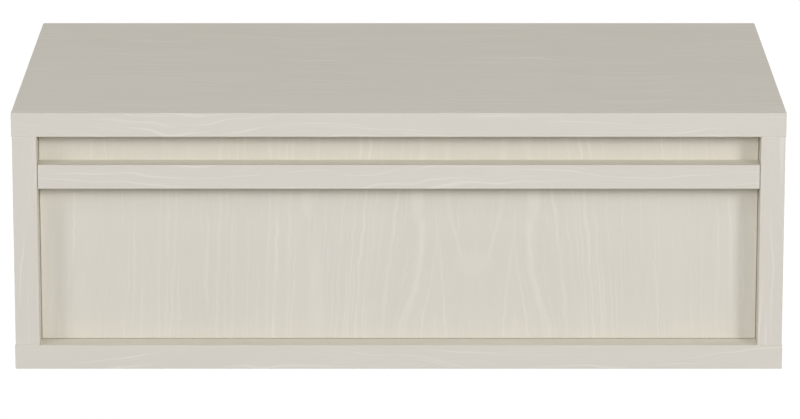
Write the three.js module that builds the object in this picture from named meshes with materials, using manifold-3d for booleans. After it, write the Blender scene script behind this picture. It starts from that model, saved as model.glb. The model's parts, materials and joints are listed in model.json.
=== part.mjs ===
// A wall-hung nightstand with one drawer. A 19 mm board case hangs on a two-part hook cleat,
// and a full-width rail across a set-back drawer front is the pull. The drawer box is
// dovetailed and runs on a pair of three-part ball-bearing slides.
// Millimetres. +X to the right seen from the front, +Y towards the wall, +Z up. The origin is on
// the wall, at the middle of the wall cleat's flat back.
import * as THREE from "three";
import { mergeVertices } from "three/addons/utils/BufferGeometryUtils.js";
import Module from "manifold-3d";

const wasm = await Module();
wasm.setup();

// Case
const caseWidth = 600;
const caseDepth = 350;
const caseHeight = 205;
const boardThickness = 19;
const sideReveal = 0.5; // the sides stand in this far from the ends of the top and the bottom
const edgeEase = 0.3; // chamfer on the edges of the case boards and the drawer front
const backThickness = 6;
const backGrooveDepth = 6;
const hangingRailHeight = 70;

// Fits that several pieces share
const fitGap = 0.3; // between a piece and the groove or hole that holds it
const overrun = 2; // how far a cutting body runs past the face that it cuts

// Drawer front and pull
const frontSetback = 20; // from the front edges of the case to the face of the drawer front
const frontThickness = 19;
const frontGap = 0.3; // round the drawer front, and at each end of the pull
const pullSetback = 1; // from the front edges of the case to the face of the pull
const pullDrop = 22.5; // from the underside of the top to the pull: the finger gap
const pullHeight = 19;
const pullScrewCount = 3;
const pullScrewInset = 60; // from the end of the pull

// Drawer box
const boxBoard = 12;
const boxTopClearance = 28;
const boxBottomClearance = 14;
const boxEdgeRound = 3; // radius on the upper edges of the box
const boxBottomThickness = 6;
const boxBottomLift = 10; // from the lower edge of the box to its bottom panel
const boxGrooveDepth = 6;
const rearClearance = 27.8; // from the back of the box to the back panel
const tailCount = 4; // dovetails at each corner
const pinWidth = 7; // the narrow face of a dovetail pin
const tailSlope = THREE.MathUtils.degToRad(8);
const dovetailPlay = 0.15; // between a pin and the tails beside it
const frontScrewInset = 87; // from the outside of the box to its screws
const frontScrewRise = 18; // from the bottom panel of the box to the lower row
const frontScrewDrop = 32; // from the upper edge of the box to the upper row

// Hook cleat: two like profiles, one on the wall and one on the hanging rail
const cleatSheet = 2.5;
const cleatPlay = 0.3; // between the layers that hook together
const cleatLip = 12;
const cleatBase = 22;
const cleatLeadIn = 1; // chamfer at the mouth of the hook
const cleatEndGap = 40; // from the end of a cleat to the side of the case
const cleatDrop = 12; // from the underside of the top to the case cleat
const cleatSeatGap = 0.3; // between the case lip and the shelf that carries it
const cleatHoleCount = 4; // holes in each cleat
const wallHoleInset = 37.3; // puts the outer wall holes 406.4 apart, as studs are
const wallHoleRadius = 2.75;
const wallSinkRadius = 5;
const cleatScrewInset = 20;

// Dowels
const dowelRadius = 4;
const dowelLength = 30;
const dowelFaceDepth = 11; // how much of a dowel is in a board's face; the rest is in an end
const dowelTaper = 1;
const dowelFrontInset = 50;
const dowelRearInset = 60;
const dowelFit = 0.2;
const railDowelPitch = 40;

// Slides
const slideHeight = 45;
const slideInset = 2; // from the back of the drawer front to the slides
const slideSheet = 1;
const ballRadius = 1.75;
const ballPlay = 0.15;
const bendRadius = 1.5;
const cageZone = 1.1; // room between the case member and the middle member for the cage
const raceLead = 1.63; // flat of the middle member before its outer race
const raceAngle = THREE.MathUtils.degToRad(42); // slope of the middle member between its races
const lipSweep = THREE.MathUtils.degToRad(75); // how far the case member curls over its balls
const humpPast = THREE.MathUtils.degToRad(20); // how far the middle member curls past level
const cupSweep = THREE.MathUtils.degToRad(55); // how far the drawer member cups its balls
const stopWidth = 12; // tab bent in from the rear end of the case member's web
const stopReach = 1; // how far the tab stands past the web of the middle member
const stopGap = 1; // between the tab and the end of the closed middle member
const drawerSideGap = 0.5; // between the middle member and the side of the drawer
const cageSheet = 0.5;
const cageBend = 0.6;
const cageGap = 0.3; // between the inner cage and the flange above it
const cageReach = 1.2; // flange of a cage past the middle of its balls
const innerCageStandOff = 1.3; // from the web of the middle member to the inner cage
const cageEndMargin = 12.5; // a cage stops this short of the half length at each end
const ballsInRow = 5;
const slideHoleInset = 37;
const accessHoleRadius = 5;
const accessHoleInset = 62;

// Release levers of the slides
const leverLength = 56;
const leverTail = 20; // from the pivot to the rear end
const leverHalfHeight = 4;
const leverThumbRoom = 5.5; // from the thumb end to the flange that it is pressed towards
const leverThumbLength = 6;
const leverThickness = 3;
const leverSideGap = 0.3;
const leverNose = 3; // from the middle of the slide to the lever's rear end
const rivetRadius = 2.2;
const rivetFit = 0.35;
const rivetHeadRadius = 3.6;
const rivetHeadThickness = 0.8;

// Screws
const slideScrew = { head: 3.4, headDepth: 1.6, shank: 1.75, length: 10, tip: 3 };
const cleatScrew = { head: 4, headDepth: 2.2, shank: 2, length: 16, tip: 4 };
const pullScrew = { head: 4, headDepth: 2.2, shank: 2, length: 30, tip: 4 };
const frontScrew = { head: 5, headDepth: 2.4, shank: 2.1, length: 25, tip: 4 };
const screwFit = 0.2;

// Smoothness
const roundSides = 12;
const curveSteps = 5; // in a quarter turn of a rounded edge or a screw head
const bendStep = THREE.MathUtils.degToRad(20); // most turn between two points of a bend
const cageStep = THREE.MathUtils.degToRad(50); // the same in a cage
const ballSides = 8;
const ballRings = 4;

// Places worked out from the sizes above
const innerHalf = caseWidth / 2 - sideReveal - boardThickness;
const sideMiddle = innerHalf + boardThickness / 2;
const caseFront = -caseDepth;

const cleatPocket = cleatSheet + 2 * cleatPlay;
const cleatDepth = cleatPocket + cleatSheet;
const cleatStack = cleatDepth + cleatPlay; // from the wall to the hanging rail
const cleatHalf = innerHalf - cleatEndGap;
const wallShelf = cleatBase / 2;
const caseShelf = wallShelf + cleatLip + cleatSeatGap;
const cleatScrewLevel = caseShelf + cleatBase / 2;

const topUnderside = caseShelf + cleatBase + cleatDrop;
const caseTop = topUnderside + boardThickness;
const caseBottom = caseTop - caseHeight;
const floorTop = caseBottom + boardThickness;

const railBack = -cleatStack;
const railFront = railBack - boardThickness;
const railMiddle = (railBack + railFront) / 2;
const railLow = topUnderside - hangingRailHeight;
const backRear = railFront - fitGap;
const backFront = backRear - backThickness;

const frontFace = caseFront + frontSetback;
const frontBack = frontFace + frontThickness;
const pullTop = topUnderside - pullDrop;
const pullMiddle = pullTop - pullHeight / 2;

const slideFront = frontBack + slideInset;
const slideRear = backFront - rearClearance;
const slideLength = slideRear - slideFront;
const slideMiddle = (slideFront + slideRear) / 2;
const slideScrewPlaces = [slideFront + slideHoleInset, slideRear - slideHoleInset];

const raceRadius = ballRadius + ballPlay + slideSheet / 2;
const middleWeb = slideSheet + cageZone + slideSheet / 2;
const outerRace = {
  u: middleWeb + bendRadius + raceLead,
  v: slideHeight / 2 - slideSheet / 2 - raceRadius,
};
const innerRace = {
  u: outerRace.u + 2 * raceRadius * Math.cos(raceAngle),
  v: outerRace.v - 2 * raceRadius * Math.sin(raceAngle),
};
const slideThickness = innerRace.u + raceRadius + slideSheet / 2 + drawerSideGap;
const middleFlange = outerRace.v - raceRadius;
const drawerFlange = innerRace.v - raceRadius;
const innerCageFlange = middleFlange - slideSheet / 2 - cageGap - cageSheet / 2;
const innerCageWeb = middleWeb + slideSheet / 2 + innerCageStandOff;
const outerCageWeb = slideSheet + cageZone / 2;
const cageLength = slideLength / 2 - 2 * cageEndMargin;

const boxHalf = innerHalf - slideThickness;
const boxInnerHalf = boxHalf - boxBoard;
const boxLow = floorTop + boxBottomClearance;
const boxHigh = topUnderside - boxTopClearance;
const boxFront = frontBack;
const boxRear = slideRear;
const boxFloor = boxLow + boxBottomLift;
const slideLevel = (boxLow + boxHigh) / 2;
const tailPitch = (boxHigh - boxLow) / tailCount;
const tailFlare = boxBoard * Math.tan(tailSlope);

const leverRear = slideMiddle - leverNose;
const leverPivot = leverRear - leverTail;
const leverBack = slideThickness - slideSheet - leverSideGap;
const leverFace = leverBack - leverThickness;

const quarter = Math.PI / 2;

// Which way is out from the middle, and the names of the two ways, on each side.
const hands = {
  left: { side: -1, inward: "right", outward: "left" },
  right: { side: 1, inward: "left", outward: "right" },
};

const finishes = {
  limedAsh: { color: 0xd6d1c6, roughness: 0.6, metalness: 0 },
  birch: { color: 0xd9c29c, roughness: 0.55, metalness: 0 },
  beech: { color: 0xcaa57a, roughness: 0.8, metalness: 0 },
  aluminium: { color: 0xc4c6c8, roughness: 0.4, metalness: 1 },
  zincSteel: { color: 0xb4b7ba, roughness: 0.35, metalness: 1 },
  ballSteel: { color: 0xc9cbcd, roughness: 0.2, metalness: 1 },
  blackPlastic: { color: 0x26272a, roughness: 0.5, metalness: 0 },
};

// The drawer is inside the case, and the case hangs on the wall cleat.
const nightstand = new THREE.Group();
const hungCase = new THREE.Group();
const drawer = new THREE.Group();
nightstand.add(hungCase);
hungCase.add(drawer);

function add(group, name, geometry, finish) {
  const material = new THREE.MeshStandardMaterial({ ...finishes[finish], flatShading: true });
  const mesh = new THREE.Mesh(geometry, material);
  mesh.name = name;
  group.add(mesh);
}

// Two numbers in rising order.
function span(one, other) {
  return [Math.min(one, other), Math.max(one, other)];
}

// Evenly spaced places from one end to the other, both the same distance from the middle.
function spread(count, outermost) {
  return Array.from({ length: count }, (_, i) => outermost * ((2 * i) / (count - 1) - 1));
}

// A closed geometry as a solid that can be cut and joined.
function toSolid(geometry) {
  const bare = new THREE.BufferGeometry();
  bare.setAttribute("position", geometry.getAttribute("position"));
  bare.setIndex(geometry.index);
  const merged = mergeVertices(bare);
  const mesh = new wasm.Mesh({
    numProp: 3,
    vertProperties: merged.attributes.position.array,
    triVerts: new Uint32Array(merged.index.array),
  });
  return new wasm.Manifold(mesh);
}

// The vertices and triangles of a solid, as a geometry again.
function toGeometry(solid) {
  const mesh = solid.getMesh();
  const geometry = new THREE.BufferGeometry();
  geometry.setAttribute("position", new THREE.BufferAttribute(mesh.vertProperties, 3));
  geometry.setIndex(new THREE.BufferAttribute(mesh.triVerts, 1));
  return geometry;
}

// A geometry with others taken out of it.
function cut(geometry, tools) {
  const whole = toSolid(geometry);
  return toGeometry(tools.reduce((rest, tool) => rest.subtract(toSolid(tool)), whole));
}

// Several geometries joined into one.
function join(geometries) {
  const [first, ...others] = geometries.map(toSolid);
  return toGeometry(others.reduce((whole, next) => whole.add(next), first));
}

// What two geometries have in common.
function common(one, other) {
  return toGeometry(toSolid(one).intersect(toSolid(other)));
}

// A block between three pairs of planes.
function block([x0, x1], [y0, y1], [z0, z1]) {
  const geometry = new THREE.BoxGeometry(x1 - x0, y1 - y0, z1 - z0);
  return geometry.translate((x0 + x1) / 2, (y0 + y1) / 2, (z0 + z1) / 2);
}

// A board between three pairs of planes with all its edges eased: an outline with cut corners,
// pushed up, with the same chamfer round its lower and its upper face.
function easedBoard([x0, x1], [y0, y1], [z0, z1]) {
  const [left, right, near, far] = [x0 + edgeEase, x1 - edgeEase, y0 + edgeEase, y1 - edgeEase];
  const corners = [
    [left + edgeEase, near],
    [right - edgeEase, near],
    [right, near + edgeEase],
    [right, far - edgeEase],
    [right - edgeEase, far],
    [left + edgeEase, far],
    [left, far - edgeEase],
    [left, near + edgeEase],
  ];
  const geometry = new THREE.ExtrudeGeometry(outline(corners), {
    depth: z1 - z0 - 2 * edgeEase,
    bevelThickness: edgeEase,
    bevelSize: edgeEase,
    bevelSegments: 1,
  });
  return geometry.translate(0, 0, z0 + edgeEase);
}

function outline(points) {
  return new THREE.Shape(points.map(([u, v]) => new THREE.Vector2(u, v)));
}

// An outline of [across, up] points pushed along Y, where across is X and up is Z.
function alongY(points, [near, far]) {
  const settings = { depth: far - near, bevelEnabled: false };
  const geometry = new THREE.ExtrudeGeometry(outline(points), settings);
  return geometry.rotateX(quarter).translate(0, far, 0);
}

// An outline of [back, up] points pushed along X, where back is Y and up is Z.
function alongX(points, [left, right]) {
  const settings = { depth: right - left, bevelEnabled: false };
  const geometry = new THREE.ExtrudeGeometry(outline(points), settings);
  return geometry.rotateX(quarter).rotateZ(quarter).translate(left, 0, 0);
}

// Turns a shape of revolution, whose top faces +Y, so that its top faces one of the six ways.
const facing = {
  back: (geometry) => geometry,
  front: (geometry) => geometry.rotateX(2 * quarter),
  up: (geometry) => geometry.rotateX(quarter),
  down: (geometry) => geometry.rotateX(-quarter),
  left: (geometry) => geometry.rotateZ(quarter),
  right: (geometry) => geometry.rotateZ(-quarter),
};

// A shape of revolution from [radius, height] points that run from its top down, both ends on
// the axis. Its zero height is at a place, and its top faces one of the six ways.
function turned(points, way, [x, y, z]) {
  const profile = points.map(([radius, height]) => new THREE.Vector2(radius, height)).reverse();
  return facing[way](new THREE.LatheGeometry(profile, roundSides)).translate(x, y, z);
}

// The cutting body for a round hole: its mouth is at a place and faces one of the six ways.
function roundHole(radius, depth, way, mouth) {
  const points = [[0, overrun], [radius, overrun], [radius, -depth], [0, -depth]];
  return turned(points, way, mouth);
}

// A countersunk screw with the flat of its head at a place.
function countersunk(screw, way, place) {
  const points = [
    [0, 0],
    [screw.head, 0],
    [screw.shank, -screw.headDepth],
    [screw.shank, screw.tip - screw.length],
    [0, -screw.length],
  ];
  return turned(points, way, place);
}

// The cutting body for the sunk hole that such a screw fills.
function sunkHole(screw, way, place) {
  const points = [
    [0, overrun],
    [screw.head + screwFit, overrun],
    [screw.head + screwFit, 0],
    [screw.shank + screwFit, -screw.headDepth],
    [screw.shank + screwFit, -screw.length - screwFit],
    [0, -screw.length - screwFit],
  ];
  return turned(points, way, place);
}

// A screw with a domed head, whose flat underside is at a place.
function domed(screw, way, place) {
  const dome = Array.from({ length: curveSteps }, (_, i) => {
    const angle = (i / curveSteps) * quarter;
    return [screw.head * Math.sin(angle), screw.headDepth * Math.cos(angle)];
  });
  const points = [
    ...dome,
    [screw.head, 0],
    [screw.shank, 0],
    [screw.shank, screw.tip - screw.length],
    [0, -screw.length],
  ];
  return turned(points, way, place);
}

// A dowel with tapered ends and its middle at a place.
function dowel(way, middle) {
  const half = dowelLength / 2;
  const points = [
    [0, half],
    [dowelRadius - dowelTaper, half],
    [dowelRadius, half - dowelTaper],
    [dowelRadius, dowelTaper - half],
    [dowelRadius - dowelTaper, -half],
    [0, -half],
  ];
  return turned(points, way, middle);
}

// The hole for a dowel, in the face of one board or in the end of the other.
const dowelInFace = dowelFaceDepth;
const dowelInEnd = dowelLength - dowelFaceDepth;
const dowelShift = dowelLength / 2 - dowelFaceDepth; // from the joint to the dowel's middle
function dowelHole(depth, way, mouth) {
  return roundHole(dowelRadius + dowelFit, depth + fitGap, way, mouth);
}
const dowelRows = { front: caseFront + dowelFrontInset, rear: -dowelRearInset };
const railDowelMiddle = topUnderside - hangingRailHeight / 2;
const railDowelRows = {
  lower: railDowelMiddle - railDowelPitch / 2,
  upper: railDowelMiddle + railDowelPitch / 2,
};

// The groove for the back panel: its width, and how far it goes into a board.
const backGroove = [backFront - fitGap, backRear + fitGap];
const backReach = backGrooveDepth + fitGap;

// The top and the bottom lie over the ends of the sides.
const levels = {
  top: { joint: topUnderside, outer: caseTop, mouth: "down", inside: -1 },
  bottom: { joint: floorTop, outer: caseBottom, mouth: "up", inside: 1 },
};

function addLevel(levelName, { joint, outer, mouth, inside }) {
  const grooveAcross = [-innerHalf - backReach, innerHalf + backReach];
  const grooveUp = span(joint + inside * overrun, joint - inside * backReach);
  const tools = [block(grooveAcross, backGroove, grooveUp)];
  for (const [hand, { side }] of Object.entries(hands))
    for (const [row, y] of Object.entries(dowelRows)) {
      tools.push(dowelHole(dowelInFace, mouth, [side * sideMiddle, y, joint]));
      const middle = [side * sideMiddle, y, joint + inside * dowelShift];
      add(hungCase, `${levelName}_${hand}_${row}_dowel`, dowel("up", middle), "beech");
    }
  const across = [-caseWidth / 2, caseWidth / 2];
  const board = easedBoard(across, [caseFront, 0], span(joint, outer));
  add(hungCase, `${levelName}_panel`, cut(board, tools), "limedAsh");
}

// A side takes the dowels of the top, the bottom and the hanging rail, and carries a slide.
function addSidePanel(hand, { side, inward }) {
  const inner = side * innerHalf;
  const grooveAcross = span(inner - side * overrun, inner + side * backReach);
  const grooveUp = [floorTop - overrun, topUnderside + overrun];
  const tools = [block(grooveAcross, backGroove, grooveUp)];
  for (const y of Object.values(dowelRows)) {
    tools.push(dowelHole(dowelInEnd, "up", [side * sideMiddle, y, topUnderside]));
    tools.push(dowelHole(dowelInEnd, "down", [side * sideMiddle, y, floorTop]));
  }
  for (const z of Object.values(railDowelRows))
    tools.push(dowelHole(dowelInFace, inward, [inner, railMiddle, z]));
  for (const head of slideScrewHeads(side, slideSheet))
    tools.push(sunkHole(slideScrew, inward, head));
  const across = span(inner, inner + side * boardThickness);
  const board = easedBoard(across, [caseFront, 0], [floorTop, topUnderside]);
  add(hungCase, `${hand}_side_panel`, cut(board, tools), "limedAsh");
}

// Where the heads of a slide's screws lie on a web, off being its distance from the case side.
function slideScrewHeads(side, off) {
  return slideScrewPlaces.map((y) => [side * (innerHalf - off), y, slideLevel]);
}

function addBackPanel() {
  const reach = innerHalf + backGrooveDepth;
  const up = [floorTop - backGrooveDepth, topUnderside + backGrooveDepth];
  const panel = block([-reach, reach], [backFront, backRear], up);
  add(hungCase, "back_panel", panel, "limedAsh");
}

// The rail behind the back panel ties the sides together and carries the case cleat.
function addHangingRail() {
  const across = [-innerHalf, innerHalf];
  const board = block(across, [railFront, railBack], [railLow, topUnderside]);
  const tools = caseCleatHeads.map((head) => sunkHole(cleatScrew, "back", head));
  for (const [hand, { side, outward }] of Object.entries(hands))
    for (const [row, z] of Object.entries(railDowelRows)) {
      tools.push(dowelHole(dowelInEnd, outward, [side * innerHalf, railMiddle, z]));
      const middle = [side * (innerHalf - dowelShift), railMiddle, z];
      add(hungCase, `rail_${hand}_${row}_dowel`, dowel("left", middle), "beech");
    }
  add(hungCase, "hanging_rail", cut(board, tools), "limedAsh");
}

// The section of a cleat as [off, along] points. off is the distance from the face that it is
// screwed to, and along runs from the shelf of its hook towards its lip.
const cleatSection = [
  [0, -cleatBase],
  [cleatSheet, -cleatBase],
  [cleatSheet, -cleatSheet],
  [cleatDepth, -cleatSheet],
  [cleatDepth, cleatLip],
  [cleatPocket + cleatLeadIn, cleatLip],
  [cleatPocket, cleatLip - cleatLeadIn],
  [cleatPocket, 0],
  [0, 0],
];

// The wall cleat hooks upwards. Its sunk holes take the screws that suit the wall.
function addWallCleat() {
  const section = cleatSection.map(([off, along]) => [-off, wallShelf + along]);
  const wallHole = {
    head: wallSinkRadius,
    headDepth: cleatSheet,
    shank: wallHoleRadius,
    length: cleatSheet + overrun,
  };
  const level = wallShelf - cleatBase / 2;
  const tools = spread(cleatHoleCount, cleatHalf - wallHoleInset).map((x) =>
    sunkHole(wallHole, "front", [x, -cleatSheet, level]),
  );
  const bar = alongX(section, [-cleatHalf, cleatHalf]);
  add(nightstand, "wall_cleat", cut(bar, tools), "aluminium");
}

// The case cleat is the same profile turned over: its lip drops between the wall cleat's lip
// and the wall.
const caseCleatHeads = spread(cleatHoleCount, cleatHalf - cleatScrewInset).map((x) => [
  x,
  railBack + cleatSheet,
  cleatScrewLevel,
]);
function addCaseCleat() {
  const section = cleatSection.map(([off, along]) => [railBack + off, caseShelf - along]);
  const tools = caseCleatHeads.map((head) => sunkHole(cleatScrew, "back", head));
  const bar = alongX(section, [-cleatHalf, cleatHalf]);
  add(hungCase, "case_cleat", cut(bar, tools), "aluminium");
  caseCleatHeads.forEach((head, i) => {
    const screw = countersunk(cleatScrew, "back", head);
    add(hungCase, `cleat_screw_${i + 1}`, screw, "zincSteel");
  });
}

// Points along an arc, each with the unit normal to the left of the way that it runs. In a
// slide, u is the distance from the case side, and v the height above its middle.
function arc(centre, radius, from, to, step = bendStep) {
  const steps = Math.ceil(Math.abs(to - from) / step);
  const left = to > from ? -1 : 1;
  return Array.from({ length: steps + 1 }, (_, i) => {
    const angle = from + ((to - from) * i) / steps;
    const [c, s] = [Math.cos(angle), Math.sin(angle)];
    const point = { u: centre.u + radius * c, v: centre.v + radius * s };
    return { ...point, normalU: left * c, normalV: left * s };
  });
}

// The outline of a bent strip, from the upper half of its middle line: the lower half mirrors
// the upper one, and both faces stand half a thickness off.
function strip(upper, thickness, side) {
  const lower = upper.map((p) => ({ ...p, v: -p.v, normalV: -p.normalV })).reverse();
  const face = (by) =>
    [...lower, ...upper].map((p) => [
      side * (innerHalf - p.u - by * p.normalU),
      slideLevel + p.v + by * p.normalV,
    ]);
  return [...face(thickness / 2), ...face(-thickness / 2).reverse()];
}

// The case member: a channel whose edges curl over the outer balls.
function caseMemberLine() {
  const flange = slideHeight / 2 - slideSheet / 2;
  const corner = { u: slideSheet / 2 + bendRadius, v: flange - bendRadius };
  return [
    ...arc(corner, bendRadius, 2 * quarter, quarter),
    ...arc(outerRace, raceRadius, quarter, quarter - lipSweep),
  ];
}

// The middle member: each edge cups the outer balls from inside, then arches over the inner ones.
function middleMemberLine() {
  const corner = { u: middleWeb + bendRadius, v: middleFlange - bendRadius };
  const [, ...arch] = arc(innerRace, raceRadius, 2 * quarter - raceAngle, -humpPast);
  return [
    ...arc(corner, bendRadius, 2 * quarter, quarter),
    ...arc(outerRace, raceRadius, 3 * quarter, 4 * quarter - raceAngle),
    ...arch,
  ];
}

// The drawer member: its edges turn back towards the case and cup the inner balls.
function drawerMemberLine() {
  const web = slideThickness - slideSheet / 2;
  const corner = { u: web - bendRadius, v: drawerFlange - bendRadius };
  return [
    ...arc(corner, bendRadius, 0, quarter),
    ...arc(innerRace, raceRadius, 3 * quarter, 3 * quarter - cupSweep),
  ];
}

// The tab that stops the middle member, bent in from the rear end of the case member's web.
function stopTab(side) {
  const reach = middleWeb + slideSheet / 2 + stopReach;
  const across = span(side * (innerHalf - slideSheet / 2), side * (innerHalf - reach));
  const up = [slideLevel - stopWidth / 2, slideLevel + stopWidth / 2];
  return block(across, [slideRear - slideSheet, slideRear], up);
}

// The headed rivet that stands on the web of the drawer member and carries the lever.
function rivet(side, outward) {
  const top = leverFace - leverSideGap - rivetHeadThickness;
  const foot = slideThickness - slideSheet / 2;
  const points = [
    [0, 0],
    [rivetHeadRadius, 0],
    [rivetHeadRadius, -rivetHeadThickness],
    [rivetRadius, -rivetHeadThickness],
    [rivetRadius, top - foot],
    [0, top - foot],
  ];
  return turned(points, outward, [side * (innerHalf - top), leverPivot, slideLevel]);
}

// A cage: a thin channel with the balls held in its two flanges.
function ballCage(web, flange, race, side) {
  const corner = { u: web + cageBend, v: flange - cageBend };
  const end = { u: race.u + cageReach, v: flange, normalU: 0, normalV: 1 };
  const line = [...arc(corner, cageBend, 2 * quarter, quarter, cageStep), end];
  const along = [slideMiddle - cageLength / 2, slideMiddle + cageLength / 2];
  const pieces = [alongY(strip(line, cageSheet, side), along)];
  const outermost = (cageLength - cageLength / ballsInRow) / 2;
  for (const v of [-race.v, race.v])
    for (const offset of spread(ballsInRow, outermost)) {
      const ball = new THREE.SphereGeometry(ballRadius, ballSides, ballRings);
      const x = side * (innerHalf - race.u);
      pieces.push(ball.translate(x, slideMiddle + offset, slideLevel + v));
    }
  return join(pieces);
}

// The lever lies in the channel of the drawer member. On the left its thumb end hangs down, and
// the right one is the same piece turned over.
function releaseLever({ side, outward }) {
  const front = leverRear - leverLength;
  const neck = leverPivot - leverTail;
  const thumb = leverThumbRoom - drawerFlange + slideSheet / 2;
  const points = [
    [leverRear, -leverHalfHeight / 2],
    [leverRear, leverHalfHeight],
    [neck, leverHalfHeight],
    [front, 0],
    [front, thumb],
    [front + leverThumbLength, thumb],
    [neck, -leverHalfHeight],
    [leverPivot + leverTail / 2, -leverHalfHeight],
  ].map(([y, z]) => [y, slideLevel - side * z]);
  const mouth = [side * (innerHalf - leverFace), leverPivot, slideLevel];
  const across = span(mouth[0], side * (innerHalf - leverBack));
  const bore = roundHole(rivetRadius + rivetFit, leverThickness + overrun, outward, mouth);
  return cut(alongX(points, across), [bore]);
}

// One slide: three nested members, two cages, its screws and its lever.
function addSlide(hand, { side, inward, outward }) {
  const member = (line, rear) => alongY(strip(line, slideSheet, side), [slideFront, rear]);

  const caseHeads = slideScrewHeads(side, slideSheet);
  const caseMember = cut(
    join([member(caseMemberLine(), slideRear), stopTab(side)]),
    caseHeads.map((head) => sunkHole(slideScrew, inward, head)),
  );
  add(hungCase, `${hand}_slide_case_member`, caseMember, "zincSteel");
  caseHeads.forEach((head, i) => {
    const screw = countersunk(slideScrew, inward, head);
    add(hungCase, `${hand}_case_slide_screw_${i + 1}`, screw, "zincSteel");
  });

  const middleRear = slideRear - slideSheet - stopGap;
  const accessHoles = [slideFront + accessHoleInset, slideRear - accessHoleInset].map((y) => {
    const mouth = [side * (innerHalf - middleWeb), y, slideLevel];
    return roundHole(accessHoleRadius, overrun, inward, mouth);
  });
  const middleMember = cut(member(middleMemberLine(), middleRear), accessHoles);
  add(hungCase, `${hand}_slide_middle_member`, middleMember, "zincSteel");

  const drawerHeads = slideScrewHeads(side, slideThickness - slideSheet);
  const drawerMember = cut(
    join([member(drawerMemberLine(), slideRear), rivet(side, outward)]),
    drawerHeads.map((head) => sunkHole(slideScrew, outward, head)),
  );
  add(drawer, `${hand}_slide_drawer_member`, drawerMember, "zincSteel");
  drawerHeads.forEach((head, i) => {
    const screw = countersunk(slideScrew, outward, head);
    add(drawer, `${hand}_drawer_slide_screw_${i + 1}`, screw, "zincSteel");
  });

  const outerCage = ballCage(outerCageWeb, outerRace.v, outerRace, side);
  add(hungCase, `${hand}_outer_ball_cage`, outerCage, "ballSteel");
  const innerCage = ballCage(innerCageWeb, innerCageFlange, innerRace, side);
  add(hungCase, `${hand}_inner_ball_cage`, innerCage, "ballSteel");
  add(drawer, `${hand}_release_lever`, releaseLever({ side, outward }), "blackPlastic");
}

// The boards of the drawer box have a section, as [across, up] points, whose two upper edges are
// rounded over.
function boxSection([low, high]) {
  const turns = Array.from({ length: curveSteps + 1 }, (_, i) => (i / curveSteps) * quarter);
  const curve = turns.map((angle) => [
    boxEdgeRound * (1 - Math.cos(angle)),
    boxHigh - boxEdgeRound * (1 - Math.sin(angle)),
  ]);
  const right = curve.map(([inset, z]) => [high - inset, z]);
  const left = curve.map(([inset, z]) => [low + inset, z]).reverse();
  return [[low, boxLow], [high, boxLow], ...right, ...left];
}

// The end of a box side, from its lower corner up: tails that widen towards the end face.
// ending is -1 at the front and 1 at the back.
function tailEdge(end, ending) {
  const shoulder = end - ending * boxBoard;
  const wide = (tailPitch - pinWidth) / 2;
  const narrow = wide - tailFlare;
  const tails = spread(tailCount, (tailPitch * (tailCount - 1)) / 2).flatMap((offset) => [
    [shoulder, slideLevel + offset - narrow],
    [end, slideLevel + offset - wide],
    [end, slideLevel + offset + wide],
    [shoulder, slideLevel + offset + narrow],
  ]);
  return [[shoulder, boxLow], ...tails, [shoulder, boxHigh]];
}

// The pins at one end of the box's front or back. They fill what the tails leave, less the play,
// and the outermost two are half pins.
function pins(end, ending, across) {
  const shoulder = end - ending * boxBoard;
  const wide = pinWidth / 2 + tailFlare - dovetailPlay;
  const narrow = pinWidth / 2 - dovetailPlay;
  const limits = alongX(boxSection(span(shoulder, end)), across);
  return spread(tailCount + 1, (tailPitch * tailCount) / 2).map((offset) => {
    const points = [
      [shoulder, slideLevel + offset - wide],
      [end, slideLevel + offset - narrow],
      [end, slideLevel + offset + narrow],
      [shoulder, slideLevel + offset + wide],
    ];
    return common(alongX(points, across), limits);
  });
}

// The groove for the bottom of the box, round the inside of its four boards.
const bottomAlong = [boxFront + boxBoard - boxGrooveDepth, boxRear - boxBoard + boxGrooveDepth];
const bottomHalf = boxInnerHalf + boxGrooveDepth;
const bottomUp = [boxFloor, boxFloor + boxBottomThickness];
function boxGroove() {
  const wider = ([low, high]) => [low - fitGap, high + fitGap];
  return block(wider([-bottomHalf, bottomHalf]), wider(bottomAlong), wider(bottomUp));
}

function addBoxSide(hand, { side, outward }) {
  const points = [...tailEdge(boxRear, 1), ...tailEdge(boxFront, -1).reverse()];
  const across = span(side * boxInnerHalf, side * boxHalf);
  const rounded = alongY(boxSection(across), [boxFront, boxRear]);
  const heads = slideScrewHeads(side, slideThickness - slideSheet);
  const tools = [boxGroove(), ...heads.map((head) => sunkHole(slideScrew, outward, head))];
  const board = cut(common(alongX(points, across), rounded), tools);
  add(drawer, `drawer_${hand}_side`, board, "birch");
}

function addBoxEnd(name, end, ending, tools) {
  const half = boxInnerHalf - dovetailPlay;
  const section = boxSection(span(end - ending * boxBoard, end));
  const body = alongX(section, [-half, half]);
  const leftPins = pins(end, ending, [-boxHalf, overrun - half]);
  const rightPins = pins(end, ending, [half - overrun, boxHalf]);
  const board = cut(join([body, ...leftPins, ...rightPins]), [boxGroove(), ...tools]);
  add(drawer, name, board, "birch");
}

// Screws from inside the box hold the drawer front to it.
const frontScrewPlaces = Object.values(hands).flatMap(({ side }) =>
  [bottomUp[1] + frontScrewRise, boxHigh - frontScrewDrop].map((z) => [
    side * (boxHalf - frontScrewInset),
    boxFront + boxBoard,
    z,
  ]),
);
const frontScrewHoles = frontScrewPlaces.map((place) =>
  roundHole(frontScrew.shank + screwFit, frontScrew.length + screwFit, "back", place),
);

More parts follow.
